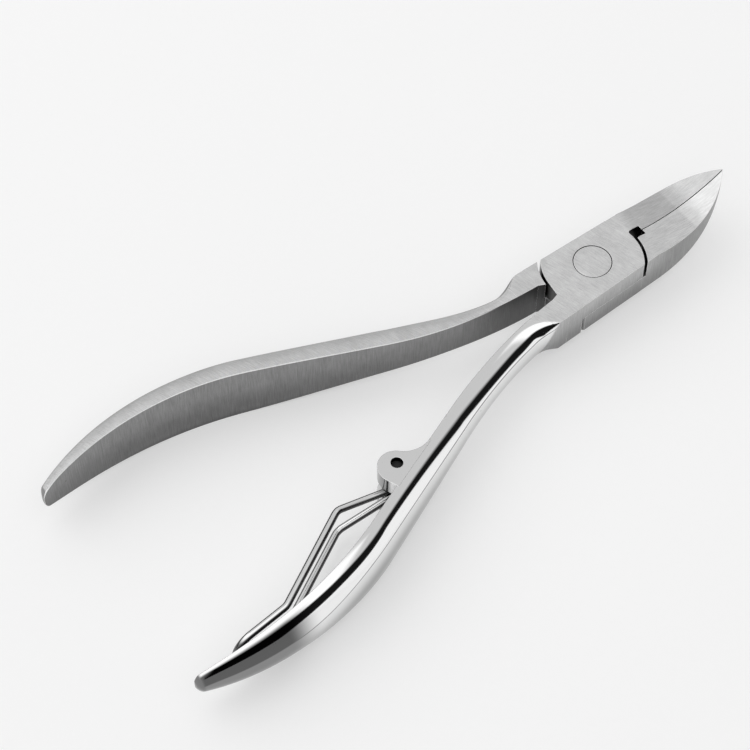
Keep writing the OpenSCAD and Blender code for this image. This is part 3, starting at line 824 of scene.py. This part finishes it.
def rivet_finish_and_light(graph, local, normal, top):
    """Satin like the joint, with a dark seam that is painted lighter on one side as painted
    light.
    """
    x, y = local[0], local[1]
    seam = graph.step(distance(graph, x, y), RIVET_R - 0.2, RIVET_R - 0.13)
    # Painted light: the seam is lighter on one side.
    lit = graph.step(graph.math("MULTIPLY_ADD", y, 0.6, x), -1.5, 2.5)
    return graph.mix(seam, 0.69, graph.mix(lit, 0.4, 0.08)), 0.2, SATIN[1]


def wire_finish_and_highlight(graph, local, normal, top):
    """Dark drawn wire with a painted highlight streak on top."""
    return graph.mix(graph.step(normal[2], 0.75, 0.97), 0.13, BRIGHT), *WIRE


def pin_finish_and_shade(graph, local, normal, top):
    """Dark, because it lies deep in its hole."""
    return 0.03, *BORE


# ---------------------------------------------------------------- pieces
def finish_piece(shape, name, body, node, material):
    move(shape, Matrix.Translation(PIVOT) @ Matrix.Scale(MM, 4))
    shape.name = name
    shape.data.name = name
    shape.data.materials.clear()
    shape.data.materials.append(material)
    shape.data.polygons.foreach_set("use_smooth", [True] * len(shape.data.polygons))
    shape.data.set_sharp_from_angle(angle=SHARP_ANGLE)
    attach(shape, body)
    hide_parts(node)


finish_piece(upper_lever(), "polished_lever", "upper", "upper_lever",
             steel("polished steel", upper_finish_and_shading))
finish_piece(lower_lever(), "brushed_lever", "lower", "lower_lever",
             steel("brushed steel", lower_finish_and_shading))
finish_piece(pivot_rivet(), "rivet", "upper", "pivot_rivet",
             steel("rivet steel", rivet_finish_and_light))
finish_piece(spring_pin(), "pin", "upper", "spring_pin",
             steel("pin steel", pin_finish_and_shade))
finish_piece(return_spring(), "wire_spring", "spring", "return_spring",
             steel("spring wire", wire_finish_and_highlight))


# ---------------------------------------------------------------- floor, light, camera
FLOOR_HALF = 3.0
FLOOR_VALUE, FLOOR_GLOW = 0.5, 0.42
GRAIN_SCALE, GRAIN_DEPTH = 900, 0.01
SKY_NEAR, SKY_FAR, SKY_LOW, SKY_DARK = 1.35, 0.75, 1.15, 0.01
KEY_PLACE, KEY_SIZE, KEY_POWER = (-0.1, 0.4, 0.45), 0.8, 1.0
SENSOR_W, LENS, CLIP_START = 36, 114.16, 0.01
EYE_PLACE = (-0.12867, -0.14875, 0.3093)
EYE_TARGET = (-0.00674, 0.00619, 0.0057)


def floor():
    """Plain white paper that glows a little, so that its shadows stay faint."""
    half = FLOOR_HALF
    shape = new_object("floor", [(-half, -half, 0), (half, -half, 0), (half, half, 0),
                                 (-half, half, 0)], [[0, 1, 2, 3]])
    paper = bpy.data.materials.new("floor paper")
    graph = Graph(paper)
    place = graph.node("ShaderNodeTexCoord").outputs["Object"]
    grain = graph.noise(place, GRAIN_SCALE, 3)
    value = graph.math("MULTIPLY_ADD", grain, GRAIN_DEPTH, FLOOR_VALUE)
    shader = graph.node("ShaderNodeBsdfPrincipled", None, Roughness=0.7)
    shader.inputs["Emission Color"].default_value = (1, 1, 1, 1)
    shader.inputs["Emission Strength"].default_value = FLOOR_GLOW
    graph.tree.links.new(graph.grey(value), shader.inputs["Base Color"])
    output = graph.node("ShaderNodeOutputMaterial")
    graph.tree.links.new(shader.outputs[0], output.inputs[0])
    shape.data.materials.append(paper)


def studio():
    """A white studio with one dark band on the near side and a low dark wall behind."""
    world = bpy.data.worlds.new("studio")
    bpy.context.scene.world = world
    graph = Graph(world)
    place = graph.node("ShaderNodeTexCoord").outputs["Generated"]
    parts = graph.node("ShaderNodeSeparateXYZ", None, _0=place).outputs
    x, y, z = parts[0], parts[1], parts[2]
    low = graph.math("MULTIPLY_ADD", x, 0.6, -0.08)
    low = graph.math("SUBTRACT", low, graph.step(x, 0.13, 0.06))
    above_low = graph.step(graph.math("SUBTRACT", z, low), -0.02, 0.02)
    above_high = graph.step(z, 0.59, 0.71)
    band = graph.math("SUBTRACT", above_low, above_high)
    band = graph.math("MULTIPLY", band, graph.step(y, -0.1, -0.2))
    band = graph.math("MULTIPLY", band, graph.step(x, -0.55, -0.4))
    wall = graph.math("MULTIPLY", graph.step(y, 0.3, 0.45), graph.step(z, 0.34, 0.26))
    dark = graph.math("MAXIMUM", band, wall)
    aside = graph.math("MULTIPLY_ADD", graph.math("MAXIMUM", y, 0.0), 0.55, x)
    sky = graph.mix(graph.step(aside, 0.38, 0.5), SKY_NEAR, SKY_FAR)
    light = graph.mix(graph.step(z, 0.3, 0.5), SKY_LOW, sky)
    light = graph.mix(dark, light, SKY_DARK)
    background = graph.node("ShaderNodeBackground", None, Strength=light)
    output = graph.node("ShaderNodeOutputWorld")
    graph.tree.links.new(background.outputs[0], output.inputs[0])


def key_light():
    data = bpy.data.lights.new("key", "AREA")
    data.shape = "DISK"
    data.size = KEY_SIZE
    data.energy = KEY_POWER
    lamp = bpy.data.objects.new("key", data)
    bpy.context.scene.collection.objects.link(lamp)
    lamp.location = KEY_PLACE
    lamp.rotation_euler = (-lamp.location).to_track_quat("-Z", "Y").to_euler()
    lamp.visible_glossy = False


def camera():
    data = bpy.data.cameras.new("camera")
    data.sensor_width = SENSOR_W
    data.lens = LENS
    data.clip_start = CLIP_START
    eye = bpy.data.objects.new("camera", data)
    bpy.context.scene.collection.objects.link(eye)
    eye.location = EYE_PLACE
    eye.rotation_euler = (Vector(EYE_TARGET) - eye.location).to_track_quat("-Z", "Y").to_euler()
    bpy.context.scene.camera = eye


floor()
studio()
key_light()
camera()
bpy.context.scene.view_settings.view_transform = "Standard"
